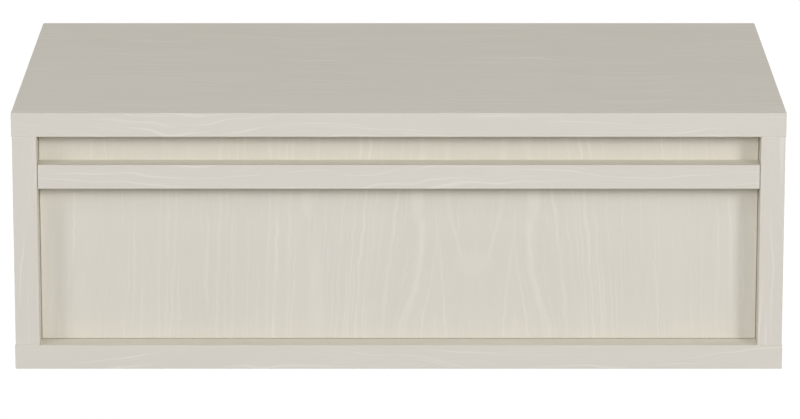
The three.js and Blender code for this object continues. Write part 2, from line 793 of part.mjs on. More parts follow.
function addBox() {
  for (const [hand, ways] of Object.entries(hands)) addBoxSide(hand, ways);
  addBoxEnd("drawer_box_front", boxFront, -1, frontScrewHoles);
  addBoxEnd("drawer_box_back", boxRear, 1, []);
  const bottom = block([-bottomHalf, bottomHalf], bottomAlong, bottomUp);
  add(drawer, "drawer_bottom", bottom, "birch");
  frontScrewPlaces.forEach((place, i) =>
    add(drawer, `front_screw_${i + 1}`, domed(frontScrew, "back", place), "zincSteel"),
  );
}

// The drawer front stands back in the case, and the pull lies across it, held from behind.
function addDrawerFront() {
  const half = innerHalf - frontGap;
  const pullPlaces = spread(pullScrewCount, half - pullScrewInset).map((x) => [
    x,
    frontBack,
    pullMiddle,
  ]);
  const pullHoles = pullPlaces.map((place) => sunkHole(pullScrew, "back", place));

  const up = [floorTop + frontGap, topUnderside - frontGap];
  const front = easedBoard([-half, half], [frontFace, frontBack], up);
  add(drawer, "drawer_front", cut(front, [...frontScrewHoles, ...pullHoles]), "limedAsh");

  const along = [caseFront + pullSetback, frontFace];
  const rail = easedBoard([-half, half], along, [pullTop - pullHeight, pullTop]);
  add(drawer, "rail_pull", cut(rail, pullHoles), "limedAsh");
  pullPlaces.forEach((place, i) =>
    add(drawer, `pull_screw_${i + 1}`, countersunk(pullScrew, "back", place), "zincSteel"),
  );
}

addWallCleat();
for (const [name, level] of Object.entries(levels)) addLevel(name, level);
for (const [hand, ways] of Object.entries(hands)) addSidePanel(hand, ways);
addBackPanel();
addHangingRail();
addCaseCleat();
addDrawerFront();
addBox();
for (const [hand, ways] of Object.entries(hands)) addSlide(hand, ways);

export default nightstand;
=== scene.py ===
# A floating nightstand with one drawer: its finishes, its screws, slides and levers, and the studio.
# Metres, in the frame's own axes: +X to the right, +Y towards the wall, +Z up.
import json
import math
import bmesh
import bpy
import numpy as np
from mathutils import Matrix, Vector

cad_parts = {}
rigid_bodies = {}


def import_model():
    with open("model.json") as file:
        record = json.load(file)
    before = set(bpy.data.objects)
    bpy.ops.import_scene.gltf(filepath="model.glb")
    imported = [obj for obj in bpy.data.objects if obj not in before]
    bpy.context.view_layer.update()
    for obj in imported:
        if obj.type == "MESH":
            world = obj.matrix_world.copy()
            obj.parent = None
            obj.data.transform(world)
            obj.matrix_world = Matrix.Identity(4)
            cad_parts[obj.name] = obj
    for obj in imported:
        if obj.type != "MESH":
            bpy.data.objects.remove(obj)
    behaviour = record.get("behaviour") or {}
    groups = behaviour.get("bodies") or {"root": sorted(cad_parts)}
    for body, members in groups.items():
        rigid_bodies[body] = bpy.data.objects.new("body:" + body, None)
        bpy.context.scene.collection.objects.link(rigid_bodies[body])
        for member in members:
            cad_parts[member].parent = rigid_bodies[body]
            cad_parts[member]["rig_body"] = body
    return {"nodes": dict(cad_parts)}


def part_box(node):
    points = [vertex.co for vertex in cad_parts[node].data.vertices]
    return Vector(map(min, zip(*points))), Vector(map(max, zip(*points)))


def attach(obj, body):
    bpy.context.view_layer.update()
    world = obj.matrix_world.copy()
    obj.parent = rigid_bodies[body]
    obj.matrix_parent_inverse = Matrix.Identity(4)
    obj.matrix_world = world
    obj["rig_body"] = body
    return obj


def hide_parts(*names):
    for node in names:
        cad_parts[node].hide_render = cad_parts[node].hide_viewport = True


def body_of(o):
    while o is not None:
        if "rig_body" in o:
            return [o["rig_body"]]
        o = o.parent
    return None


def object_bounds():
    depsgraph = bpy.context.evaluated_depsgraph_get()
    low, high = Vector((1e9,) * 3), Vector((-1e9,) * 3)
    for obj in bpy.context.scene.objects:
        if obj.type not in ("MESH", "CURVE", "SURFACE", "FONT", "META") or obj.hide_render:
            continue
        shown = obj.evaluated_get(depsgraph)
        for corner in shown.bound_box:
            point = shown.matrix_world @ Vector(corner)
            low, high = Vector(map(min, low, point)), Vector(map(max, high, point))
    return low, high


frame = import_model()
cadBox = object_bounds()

mm = 0.001
nodes = frame["nodes"]


# Studio

camera = {
    "place": (0.001, -3.9699, 0.8809),
    "pitchDown": 13.683,  # degrees
    "lens": 215.89,  # mm
    "sensorWidth": 36.0,  # mm
}

studio = {
    "lampDistance": 5.0,
    "ambient": 0.056,  # what the room gives from all round; 1 shows a colour as it is written
    "topAboveFloor": 0.60,  # the usual height of a nightstand's top
    "floorReach": 4.0,
    "floorSides": 96,
    "floorColour": "#BCBBB9",
    "floorGlow": 0.69,  # only for the eye and for gloss, so that the floor is white outside the shadow
}

# Each softbox as the nightstand sees it: degrees from the front to the right, degrees up, half its width
# and height in degrees, how bright a white card facing it would be, and its colour.
softboxes = {
    "key": {"around": 0, "up": 20, "half": (2, 8), "level": 0.359, "colour": "#F7F5FF"},
    "rightFill": {"around": 40, "up": 21, "half": (6, 9), "level": 0.328, "colour": "#F7F5FF"},
    "leftFill": {"around": -48, "up": 29, "half": (7, 17), "level": 0.269, "colour": "#F7F5FF"},
    "rightRear": {"around": 135, "up": 13, "half": (12, 10), "level": 0.250, "colour": "#F9F5F8"},
    "leftRear": {"around": -135, "up": 13, "half": (12, 10), "level": 0.250, "colour": "#F9F5F8"},
    "rear": {"around": 180, "up": 34, "half": (14, 10), "level": 0.130, "colour": "#FBF5F2"},
    "overhead": {"around": 0, "up": 90, "half": (10, 10), "level": 0.074, "colour": "#F7F5FF"},
    "rightSide": {"around": 98, "up": 5, "half": (6, 10), "level": 0.241, "colour": "#F7F5FF"},
    "leftSide": {"around": -98, "up": 5, "half": (6, 10), "level": 0.241, "colour": "#F7F5FF"},
}


def linear(hexColour):
    # sRGB hex digits to the linear colour that a shader takes
    values = [int(hexColour[i : i + 2], 16) / 255 for i in (1, 3, 5)]
    return [v / 12.92 if v <= 0.04045 else ((v + 0.055) / 1.055) ** 2.4 for v in values] + [1.0]


def addNode(tree, kind, inputs=None, output=0, **settings):
    # Adds a node, sets it up, fills or links its inputs, and gives back one of its outputs. Where inputs
    # share a name they go by number. Map Range: 0 value, 1 and 2 from, 3 and 4 to. Mix: 0 factor, 2 and 3
    # the two numbers, 6 and 7 the two colours.
    node = tree.nodes.new("ShaderNode" + kind)
    for name, value in settings.items():
        setattr(node, name, value)
    for key, value in (inputs or {}).items():
        if isinstance(value, bpy.types.NodeSocket):
            tree.links.new(value, node.inputs[key])
        else:
            node.inputs[key].default_value = value
    return node.outputs[output] if node.outputs else node


def addObject(name, data):
    obj = bpy.data.objects.new(name, data)
    bpy.context.scene.collection.objects.link(obj)
    return obj


def newMaterial(name):
    material = bpy.data.materials.new(name)
    material.use_nodes = True
    material.node_tree.nodes.clear()
    return material, material.node_tree


def makeCamera():
    data = bpy.data.cameras.new("camera")
    data.lens = camera["lens"]
    data.sensor_width = camera["sensorWidth"]
    obj = addObject("camera", data)
    obj.location = camera["place"]
    obj.rotation_euler = (math.radians(90 - camera["pitchDown"]), 0, 0)
    bpy.context.scene.camera = obj


def makeSoftboxes():
    middle = [(low + high) / 2 for low, high in zip(*cadBox)]
    distance = studio["lampDistance"]
    for name, box in softboxes.items():
        around, up = math.radians(box["around"]), math.radians(box["up"])
        way = (math.sin(around) * math.cos(up), -math.cos(around) * math.cos(up), math.sin(up))
        data = bpy.data.lights.new(name, "AREA")
        data.shape = "RECTANGLE"
        data.size, data.size_y = (2 * distance * math.tan(math.radians(half)) for half in box["half"])
        data.energy = box["level"] * (math.pi * distance) ** 2
        data.color = linear(box["colour"])[:3]
        lamp = addObject(name, data)
        lamp.location = [m + distance * w for m, w in zip(middle, way)]
        lamp.rotation_euler = (math.pi / 2 - up, 0, around)
        lamp.visible_camera = False


def seenDirectly(tree):
    # 1 for what the camera, a gloss or a clear body sees, 0 for light that reaches a surface
    path = addNode(tree, "LightPath").node.outputs
    seen = addNode(tree, "Math", {0: path["Is Camera Ray"], 1: path["Is Glossy Ray"]}, operation="MAXIMUM")
    return addNode(tree, "Math", {0: seen, 1: path["Is Transmission Ray"]}, operation="MAXIMUM")


def makeWorld():
    world = bpy.data.worlds.new("room")
    world.use_nodes = True
    tree = world.node_tree
    tree.nodes.clear()
    level = addNode(tree, "MapRange", {0: seenDirectly(tree), 3: studio["ambient"], 4: 1.0})
    light = addNode(tree, "Background", {"Color": linear("#FFFFFF"), "Strength": level})
    addNode(tree, "OutputWorld", {"Surface": light})
    bpy.context.scene.world = world


def makeFloor():
    # a round sheet of pale paper, clear from below: reach times cosine and sine of the angle, one face
    sides, reach = studio["floorSides"], studio["floorReach"]
    angle = np.linspace(0, 2 * np.pi, sides, endpoint=False)
    level = cadBox[1].z - studio["topAboveFloor"]
    rim = np.stack([reach * np.cos(angle), reach * np.sin(angle), np.full(sides, level)], axis=1)
    mesh = bpy.data.meshes.new("floor")
    mesh.from_pydata(rim.tolist(), [], [list(range(sides))])
    material, tree = newMaterial("paleStudioPaper")
    glow = addNode(tree, "Math", {0: seenDirectly(tree), 1: studio["floorGlow"]}, operation="MULTIPLY")
    paper = addNode(tree, "BsdfDiffuse", {"Color": linear(studio["floorColour"])})
    light = addNode(tree, "Emission", {"Strength": glow})
    both = addNode(tree, "AddShader", {0: paper, 1: light})
    behind = addNode(tree, "NewGeometry").node.outputs["Backfacing"]
    oneSided = addNode(tree, "MixShader", {0: behind, 1: both, 2: addNode(tree, "BsdfTransparent")})
    addNode(tree, "OutputMaterial", {"Surface": oneSided})
    mesh.materials.append(material)
    addObject("floor", mesh)


makeCamera()
makeSoftboxes()
makeWorld()
makeFloor()
bpy.context.scene.view_settings.view_transform = "Standard"
print("studio: camera,", len(softboxes), "softboxes, white room, pale floor")


# Woods. A board's pattern lies in its own grain space in millimetres: along the grain, and across it. The
# across value runs on over the board's long edges, as an edge band of the same veneer does.

# Wave, streaks, fibres and patches each have a length and a width in mm. The third value is how far the
# wave bends the grain, in mm, and how strong the others are. A streak sets in over its threshold's noise
# values. The first roughness is that of the fibres, the second that of the wood between them.
woods = {
    # Ash with lime wax in its open pores, under a matt lacquer: a greige ground with paler streaks where
    # the rings' large pores have filled up.
    "limedAsh": {
        "ground": "#DBD8C7",
        "streak": "#EDEAD9",
        "wave": (230, 70, 30),
        "streaks": (130, 2.4, 0.42),
        "fibres": (26, 0.8, 0.07),  # real pores are 0.2 mm wide; drawn at 0.8 so that they show
        "patches": (160, 45, 0.05),
        "threshold": (0.60, 0.70),
        "roughness": (0.80, 0.70),
        "specular": 0.12,  # the lacquer is flatted and the wax dull
        "bump": 0.12,
    },
    # Solid birch under clear lacquer: even, creamy, with quiet streaks a little darker than the ground.
    "birch": {
        "ground": "#EBDABA",
        "streak": "#DEC7A1",
        "wave": (130, 50, 6),
        "streaks": (60, 3.2, 0.45),
        "fibres": (20, 0.8, 0.30),
        "patches": (110, 35, 0.35),
        "threshold": (0.52, 0.72),
        "roughness": (0.46, 0.52),
        "specular": 0.5,
        "bump": 0.10,
    },
    # Beech dowels, turned and bare: tan with short darker flecks.
    "beech": {
        "ground": "#CFAA80",
        "streak": "#B98F63",
        "wave": (60, 20, 2),
        "streaks": (5, 0.6, 0.6),
        "fibres": (9, 0.5, 0.3),
        "patches": (40, 10, 0.3),
        "threshold": (0.56, 0.70),
        "roughness": (0.70, 0.78),
        "specular": 0.3,
        "bump": 0.15,
    },
}

# The noises of a board: their detail, and the depth at which each is read, so that none repeats another
grainLayers = {
    "bend": {"detail": 3.0, "depth": 0.0},
    "tremor": {"detail": 2.0, "depth": 1.7},
    "streaks": {"detail": 1.0, "depth": 3.1},
    "fibres": {"detail": 3.0, "depth": 5.3},
    "patches": {"detail": 2.0, "depth": 8.9},
    "breaks": {"detail": 2.0, "depth": 11.7},
}

grainRules = {
    "endFacing": 0.7,  # a face is an end where its normal lies along the grain by more than this
    "groundTone": 0.16,  # share of the streak colour in the ground
    "endTone": 0.55,  # what bare end grain adds: it takes up more lacquer and is darker
    "poreDepth": 0.2,  # mm
}
noiseLow, noiseHigh = 0.3, 0.7  # nearly all values of a noise lie between these

# The drawer front is a book-matched leaf: the same cathedral figure on both sides of a seam.
figure = {
    "seam": 59.6,  # mm to the right of the middle
    "top": 5.0,  # height in the frame, mm, that depths are counted down from
    "ridge": 31.4,  # mm from the seam to the peak of the arches
    "lean": (0.11, 0.03),  # how far a line leans outwards per mm down, near the ridge and far off
    "leanReach": (35, 100),  # mm outwards from the ridge, from the one lean to the other
    # The bold line bows towards the seam: its place, how far to its sides this is felt in full and at all,
    # how far it bows, and over which height
    "bow": {"line": 14.1, "full": 3.5, "reach": 15.0, "depth": 7.8, "height": 100.0},
    # The vee: mm from the seam at its top and at its foot, its depth, the half width of its line, and its
    # strength above and below the depths over which it fades
    "vee": {
        "top": 20.8,
        "foot": 9.0,
        "depth": 64.0,
        "halfWidth": 1.9,
        "strength": (0.5, 0.15),
        "fades": (50.0, 62.0),
    },
    # In mm outwards from the ridge: only the vee shows up to the first, and none of it past the second
    "onlyVee": (-12.0, -9.5),
    "waveReach": 2.2,  # the leaf's grain bends less than that of other boards, mm
    "tremor": (14, 8, 2.4),  # length and width of a tremor in the lines, and its size, mm
    # Pale lines: mm outwards from the ridge, half width in mm, strength
    "nearLines": [
        (-11.0, 1.6, 0.5),
        (-1.6, 1.5, 0.6),
        (14.1, 4.6, 0.8),
        (29.5, 1.7, 0.75),
        (45.5, 1.9, 0.4),
        (54.0, 1.7, 0.8),
        (61.0, 1.5, 0.65),
        (70.6, 1.3, 0.4),
    ],
    "nearReach": (-16.0, 76.0),
    # Past these the leaf's left half is richer than its right
    "farLines": [
        (92.0, 2.0, 0.4),
        (112.5, 2.0, 0.7),
        (122.5, 1.8, 0.85),
        (128.5, 1.4, 0.5),
        (155.0, 1.4, 0.4),
        (161.5, 1.3, 0.35),
        (168.0, 1.6, 0.6),
        (208.0, 1.5, 0.4),
        (214.0, 1.5, 0.4),
    ],
    "farReach": (76.0, 220.0),
    "farRightShare": 0.2,
    "lineStrength": 0.53,
    "streakShare": 0.55,  # how much of the ordinary streaks is left between the lines
    # Breaks in the lines: their length and width in mm, the noise values that they lie between, and how
    # much of a line is left in one
    "breaks": {"size": (34, 5), "band": (0.40, 0.56), "left": 0.38},
    # Pale patches: mm to the right of the seam, mm down, half width, half height, strength
    "patches": [
        (0.0, 53.0, 16.0, 11.0, 0.30),
        (-45.5, 0.0, 6.0, 20.0, 0.65),
        (45.5, 0.0, 6.0, 20.0, 0.65),
        (-131.0, 4.0, 6.0, 14.0, 0.45),
        (-123.6, 76.0, 7.5, 42.0, 0.35),
    ],
    "patchShares": (0.5, 1.2),  # of its half size: a patch is full up to the first and ends at the second
}


def veneerFigure(tree, along, across):
    # The ring coordinate of the book-matched leaf, in mm. Outside the ridge a ring is the distance from the
    # ridge less the lean times the depth, plus a bow round the bold line. Inside it runs on from the ridge
    # to the bold line's value at the vee. Within the vee it is the distance from the seam, so that the
    # fibres run straight down.
    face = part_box("drawer_front")[0].y / mm  # a board's depth is added to its width across the grain
    offset = addNode(tree, "Math", {0: across, 1: figure["seam"] + face}, operation="SUBTRACT")
    fromSeam = addNode(tree, "Math", {0: offset}, operation="ABSOLUTE")
    down = addNode(tree, "Math", {0: figure["top"], 1: along}, operation="SUBTRACT")
    fromRidge = addNode(tree, "Math", {0: fromSeam, 1: figure["ridge"]}, operation="SUBTRACT")
    (near, far), (nearLean, farLean) = figure["leanReach"], figure["lean"]
    lean = addNode(tree, "MapRange", {0: fromRidge, 1: near, 2: far, 3: nearLean, 4: farLean})
    drop = addNode(tree, "Math", {0: down, 1: lean}, operation="MULTIPLY")
    outer = addNode(tree, "Math", {0: fromRidge, 1: drop}, operation="SUBTRACT")

    # the bow is a parabola over its height, 4 * t * (1 - t) times its depth
    bold = figure["bow"]
    t = addNode(tree, "MapRange", {0: down, 2: bold["height"]})
    left = addNode(tree, "Math", {0: 1.0, 1: t}, operation="SUBTRACT")
    parabola = addNode(tree, "Math", {0: t, 1: left}, operation="MULTIPLY")
    bow = addNode(tree, "Math", {0: parabola, 1: 4 * bold["depth"]}, operation="MULTIPLY")
    bowed = addNode(tree, "Math", {0: outer, 1: bow}, operation="ADD")
    off = addNode(tree, "Math", {0: bowed, 1: bold["line"]}, operation="SUBTRACT")
    off = addNode(tree, "Math", {0: off}, operation="ABSOLUTE")
    felt = addNode(tree, "MapRange", {0: off, 1: bold["full"], 2: bold["reach"], 3: 1.0, 4: 0.0})
    outer = addNode(tree, "Math", {0: bow, 1: felt, 2: outer}, operation="MULTIPLY_ADD")

    veeInputs = {0: down, 2: figure["vee"]["depth"], 3: figure["vee"]["top"], 4: figure["vee"]["foot"]}
    vee = addNode(tree, "MapRange", veeInputs, interpolation_type="SMOOTHSTEP")
    room = addNode(tree, "Math", {0: figure["ridge"], 1: vee}, operation="SUBTRACT")
    inward = addNode(tree, "Math", {0: fromRidge, 1: -1.0}, operation="MULTIPLY")
    share = addNode(tree, "Math", {0: inward, 1: room}, operation="DIVIDE")
    rise = addNode(tree, "Math", {0: bold["line"], 1: drop}, operation="ADD")
    inner = addNode(tree, "Math", {0: rise, 1: share}, operation="MULTIPLY")
    inner = addNode(tree, "Math", {0: inner, 1: drop}, operation="SUBTRACT")
    isOuter = addNode(tree, "Math", {0: fromRidge, 1: 0.0}, operation="GREATER_THAN")
    ring = addNode(tree, "Mix", {0: isOuter, 2: inner, 3: outer})
    within = addNode(tree, "Math", {0: fromSeam, 1: vee}, operation="LESS_THAN")
    ring = addNode(tree, "Mix", {0: within, 2: ring, 3: fromSeam})
    return {
        "ring": ring,
        "offset": offset,
        "fromSeam": fromSeam,
        "down": down,
        "fromRidge": fromRidge,
        "vee": vee,
    }


def lineRamp(tree, ring, lines, reach):
    # a ramp over the ring coordinate: up and down again at each pale line
    low, high = reach
    place = addNode(tree, "MapRange", {0: ring, 1: low, 2: high})
    output = addNode(tree, "ValToRGB", {0: place})
    elements = output.node.color_ramp.elements
    elements.remove(elements[1])
    elements[0].position = 0.0
    elements[0].color = (0, 0, 0, 1)
    for at, half, strength in lines:
        for way in (-1, 0, 1):
            level = 0.0 if way else strength
            elements.new((at + way * half - low) / (high - low)).color = (level, level, level, 1)
    return output


def figureLines(tree, leaf, breaks):
    # the pale lines of the figure, broken up along their length, and its pale patches
    near = lineRamp(tree, leaf["ring"], figure["nearLines"], figure["nearReach"])
    far = lineRamp(tree, leaf["ring"], figure["farLines"], figure["farReach"])
    right = addNode(tree, "Math", {0: leaf["offset"], 1: 0.0}, operation="GREATER_THAN")
    side = addNode(tree, "MapRange", {0: right, 3: 1.0, 4: figure["farRightShare"]})
    far = addNode(tree, "Math", {0: far, 1: side}, operation="MULTIPLY")
    lines = addNode(tree, "Math", {0: near, 1: far}, operation="ADD")
    low, high = figure["breaks"]["band"]
    broken = addNode(tree, "MapRange", {0: breaks, 1: low, 2: high, 3: figure["breaks"]["left"], 4: 1.0})
    lines = addNode(tree, "Math", {0: lines, 1: broken}, operation="MULTIPLY")

    # well inside the ridge there is only the vee, a thin line that fades out below
    (fadeTop, fadeFoot), (strongest, weakest) = figure["vee"]["fades"], figure["vee"]["strength"]
    strength = addNode(tree, "MapRange", {0: leaf["down"], 1: fadeTop, 2: fadeFoot, 3: strongest, 4: weakest})
    away = addNode(tree, "Math", {0: leaf["fromSeam"], 1: leaf["vee"]}, operation="SUBTRACT")
    away = addNode(tree, "Math", {0: away}, operation="ABSOLUTE")
    veeLine = addNode(tree, "MapRange", {0: away, 2: figure["vee"]["halfWidth"], 3: strength, 4: 0.0})
    innermost, outermost = figure["onlyVee"]
    inside = addNode(tree, "MapRange", {0: leaf["fromRidge"], 1: innermost, 2: outermost, 3: 1.0, 4: 0.0})
    lines = addNode(tree, "Mix", {0: inside, 2: lines, 3: veeLine})

    flat = addNode(tree, "CombineXYZ", {0: leaf["offset"], 1: leaf["down"]})
    full, none = figure["patchShares"]
    for across, down, halfWidth, halfHeight, strength in figure["patches"]:
        near = addNode(tree, "VectorMath", {0: flat, 1: (across, down, 0)}, operation="SUBTRACT")
        scale = (1 / halfWidth, 1 / halfHeight, 0)
        near = addNode(tree, "VectorMath", {0: near, 1: scale}, operation="MULTIPLY")
        away = addNode(tree, "VectorMath", {0: near}, output="Value", operation="LENGTH")
        patch = addNode(tree, "MapRange", {0: away, 1: full, 2: none, 3: strength, 4: 0.0})
        lines = addNode(tree, "Math", {0: lines, 1: patch}, operation="MAXIMUM")
    return lines


def grainNoise(tree, layer, size, vector):
    # noise drawn out along the grain: length and width of its blots in mm
    length, width = size
    noise = grainLayers[layer]
    scaled = addNode(tree, "VectorMath", {0: vector, 1: (1 / length, 1 / width, 1)}, operation="MULTIPLY")
    moved = addNode(tree, "VectorMath", {0: scaled, 1: (0, 0, noise["depth"])}, operation="ADD")
    return addNode(tree, "TexNoise", {"Vector": moved, "Scale": 1.0, "Detail": noise["detail"]})


def woodMaterial(name, wood, along, across, depth, seed, banded, figured=False):
    finish = woods[wood]
    material, tree = newMaterial(name)
    coords = addNode(tree, "TexCoord").node.outputs
    place = addNode(tree, "VectorMath", {0: coords["Object"], "Scale": 1 / mm}, operation="SCALE")
    axes = addNode(tree, "SeparateXYZ", {0: place}).node.outputs
    way = addNode(tree, "SeparateXYZ", {0: coords["Normal"]}).node.outputs

    # over the ends, an edge band's grain follows the board's short way
    end = addNode(tree, "Math", {0: way[along]}, operation="ABSOLUTE")
    end = addNode(tree, "Math", {0: end, 1: grainRules["endFacing"]}, operation="GREATER_THAN")
    wrap = addNode(tree, "Math", {0: axes[across], 1: axes[depth]}, operation="ADD")
    lengthwise, crosswise = axes[along], wrap
    if banded:
        lengthwise = addNode(tree, "Mix", {0: end, 2: axes[along], 3: axes[across]})
        crosswise = addNode(tree, "Mix", {0: end, 2: wrap, 3: axes[depth]})

    # the grain's bends carry its streaks, fibres and patches with them
    flat = addNode(tree, "CombineXYZ", {0: lengthwise, 1: crosswise, 2: float(seed)})
    *waveSize, waveReach = finish["wave"]
    if figured:
        waveReach = figure["waveReach"]
    bend = grainNoise(tree, "bend", waveSize, flat)
    bend = addNode(tree, "MapRange", {0: bend, 3: -waveReach, 4: waveReach})
    ring = addNode(tree, "Math", {0: crosswise, 1: bend}, operation="ADD")
    if figured:
        *tremorSize, tremorReach = figure["tremor"]
        tremor = grainNoise(tree, "tremor", tremorSize, flat)
        tremor = addNode(tree, "MapRange", {0: tremor, 3: -tremorReach, 4: tremorReach})
        leaf = veneerFigure(tree, lengthwise, ring)
        ring = addNode(tree, "Math", {0: leaf["ring"], 1: tremor}, operation="ADD")
        leaf["ring"] = ring
    grain = addNode(tree, "CombineXYZ", {0: lengthwise, 1: ring, 2: float(seed)})

    *streakSize, streakStrength = finish["streaks"]
    streaks = grainNoise(tree, "streaks", streakSize, grain)
    low, high = finish["threshold"]
    pale = addNode(tree, "MapRange", {0: streaks, 1: low, 2: high, 4: streakStrength})
    if figured:
        breaks = grainNoise(tree, "breaks", figure["breaks"]["size"], grain)
        lines = figureLines(tree, leaf, breaks)
        lines = addNode(tree, "Math", {0: lines, 1: figure["lineStrength"]}, operation="MULTIPLY")
        pale = addNode(tree, "Math", {0: pale, 1: figure["streakShare"]}, operation="MULTIPLY")
        pale = addNode(tree, "Math", {0: pale, 1: lines}, operation="MAXIMUM")

    *fibreSize, fine = finish["fibres"]
    fibres = grainNoise(tree, "fibres", fibreSize, grain)
    fibreTone = addNode(tree, "MapRange", {0: fibres, 1: noiseLow, 2: noiseHigh, 3: -fine, 4: fine})
    *patchSize, wide = finish["patches"]
    patches = grainNoise(tree, "patches", patchSize, grain)
    patchTone = addNode(tree, "MapRange", {0: patches, 1: noiseLow, 2: noiseHigh, 3: -wide, 4: wide})
    tone = addNode(tree, "Math", {0: pale, 1: fibreTone}, operation="ADD")
    tone = addNode(tree, "Math", {0: tone, 1: patchTone}, operation="ADD")
    tone = addNode(tree, "Math", {0: tone, 1: grainRules["groundTone"]}, operation="ADD", use_clamp=True)
    if not banded:
        endInputs = {0: end, 1: grainRules["endTone"], 2: tone}
        tone = addNode(tree, "Math", endInputs, operation="MULTIPLY_ADD", use_clamp=True)

    tones = {0: tone, 6: linear(finish["ground"]), 7: linear(finish["streak"])}
    colour = addNode(tree, "Mix", tones, output=2, data_type="RGBA")
    onFibres, between = finish["roughness"]
    rough = addNode(tree, "MapRange", {0: fibres, 1: noiseLow, 2: noiseHigh, 3: between, 4: onFibres})
    pores = {"Strength": finish["bump"], "Distance": grainRules["poreDepth"] * mm, "Height": fibres}
    bump = addNode(tree, "Bump", pores)
    surface = {
        "Base Color": colour,
        "Roughness": rough,
        "Normal": bump,
        "Specular IOR Level": finish["specular"],
    }
    addNode(tree, "OutputMaterial", {"Surface": addNode(tree, "BsdfPrincipled", surface)})
    return material


# Metals and plastic: two near tones in blots of a size in mm along x, y and z, with the roughness of each.
hardFinishes = {
    # Aluminium extruded through a die and left as it comes from the mill: fine lines along its length, and
    # a soft grey gloss.
    "millFinishAluminium": {
        "colour": "#B7B8B9",
        "otherTone": "#A4A5A7",
        "blots": (90, 0.9, 0.9),
        "detail": 3.0,
        "roughness": (0.30, 0.42),
        "bump": 0.10,
        "metallic": 1.0,
    },
    # Cold-rolled steel with a bright zinc plating: bluish grey, faintly cloudy.
    "brightZincSteel": {
        "colour": "#C9CDD1",
        "otherTone": "#B2B7BC",
        "blots": (9, 6, 6),
        "detail": 3.0,
        "roughness": (0.22, 0.36),
        "bump": 0.04,
        "metallic": 1.0,
    },
    # Cages and balls of polished bearing steel: darker, sharper reflections.
    "polishedBearingSteel": {
        "colour": "#C4C6C9",
        "otherTone": "#B4B6BA",
        "blots": (4, 4, 4),
        "detail": 3.0,
        "roughness": (0.12, 0.22),
        "bump": 0.02,
        "metallic": 1.0,
    },
    # Acetal, injection moulded: black, with the fine spark-eroded texture of its mould.
    "mouldedBlackAcetal": {
        "colour": "#1D1E20",
        "otherTone": "#2A2B2E",
        "blots": (0.35, 0.35, 0.35),
        "detail": 2.0,
        "roughness": (0.42, 0.56),
        "bump": 0.25,
        "metallic": 0.0,
    },
}
blotDepth = 0.1  # mm


def blotMaterial(name):
    finish = hardFinishes[name]
    material, tree = newMaterial(name)
    coords = addNode(tree, "TexCoord").node.outputs
    scale = tuple(1 / (blot * mm) for blot in finish["blots"])
    vector = addNode(tree, "Mapping", {"Vector": coords["Object"], "Scale": scale})
    blot = addNode(tree, "TexNoise", {"Vector": vector, "Scale": 1.0, "Detail": finish["detail"]})
    tone = addNode(tree, "MapRange", {0: blot, 1: noiseLow, 2: noiseHigh})
    tones = {0: tone, 6: linear(finish["colour"]), 7: linear(finish["otherTone"])}
    colour = addNode(tree, "Mix", tones, output=2, data_type="RGBA")
    low, high = finish["roughness"]
    rough = addNode(tree, "MapRange", {0: tone, 3: low, 4: high})
    relief = {"Strength": finish["bump"], "Distance": blotDepth * mm, "Height": blot}
    surface = {
        "Base Color": colour,
        "Roughness": rough,
        "Normal": addNode(tree, "Bump", relief),
        "Metallic": finish["metallic"],
    }
    addNode(tree, "OutputMaterial", {"Surface": addNode(tree, "BsdfPrincipled", surface)})
    return material


def dress(nodeName, material):
    for slot in nodes[nodeName].material_slots:
        slot.link = "OBJECT"
        slot.material = material


boards = {
    # node: wood, along, across, depth, seed, banded, figured
    "top_panel": ("limedAsh", "X", "Y", "Z", 1, True, False),
    "bottom_panel": ("limedAsh", "X", "Y", "Z", 31, True, False),
    "left_side_panel": ("limedAsh", "Z", "Y", "X", 22, True, False),
    "right_side_panel": ("limedAsh", "Z", "Y", "X", 23, True, False),
    "back_panel": ("limedAsh", "X", "Z", "Y", 5, True, False),
    "hanging_rail": ("limedAsh", "X", "Z", "Y", 6, True, False),
    "drawer_front": ("limedAsh", "Z", "X", "Y", 7, True, True),
    "rail_pull": ("limedAsh", "X", "Z", "Y", 8, True, False),
    "drawer_box_front": ("birch", "X", "Z", "Y", 9, False, False),
    "drawer_box_back": ("birch", "X", "Z", "Y", 10, False, False),
    "drawer_left_side": ("birch", "Y", "Z", "X", 11, False, False),
    "drawer_right_side": ("birch", "Y", "Z", "X", 12, False, False),
    "drawer_bottom": ("birch", "X", "Y", "Z", 13, True, False),
}

dowels = {
    # material: wood, along, across, depth, seed, banded
    "beechUprightDowel": ("beech", "Z", "X", "Y", 14, False),
    "beechLevelDowel": ("beech", "X", "Y", "Z", 15, False),
}


def dressWood():
    for nodeName, settings in boards.items():
        words = nodeName.split("_")
        name = settings[0] + "".join(word.capitalize() for word in words)
        dress(nodeName, woodMaterial(name, *settings))
    upright, level = (woodMaterial(name, *settings) for name, settings in dowels.items())
    for nodeName in nodes:
        if nodeName.endswith("_dowel"):
            dress(nodeName, level if nodeName.startswith("rail_") else upright)


dressWood()
aluminium = blotMaterial("millFinishAluminium")
zincSteel = blotMaterial("brightZincSteel")
bearingSteel = blotMaterial("polishedBearingSteel")
blackAcetal = blotMaterial("mouldedBlackAcetal")
for nodeName in ("wall_cleat", "case_cleat"):
    dress(nodeName, aluminium)
print("finishes:", len(boards), "boards, dowels, cleats")


# New pieces. Each stands where its CAD node is and moves with that node's body.

crispFrom = math.radians(32)  # edges sharper than this stay crisp


def standIn(piece, nodeName, material):
    piece.data.materials.clear()
    piece.data.materials.append(material)
    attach(piece, body_of(nodes[nodeName])[0])
    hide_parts(nodeName)


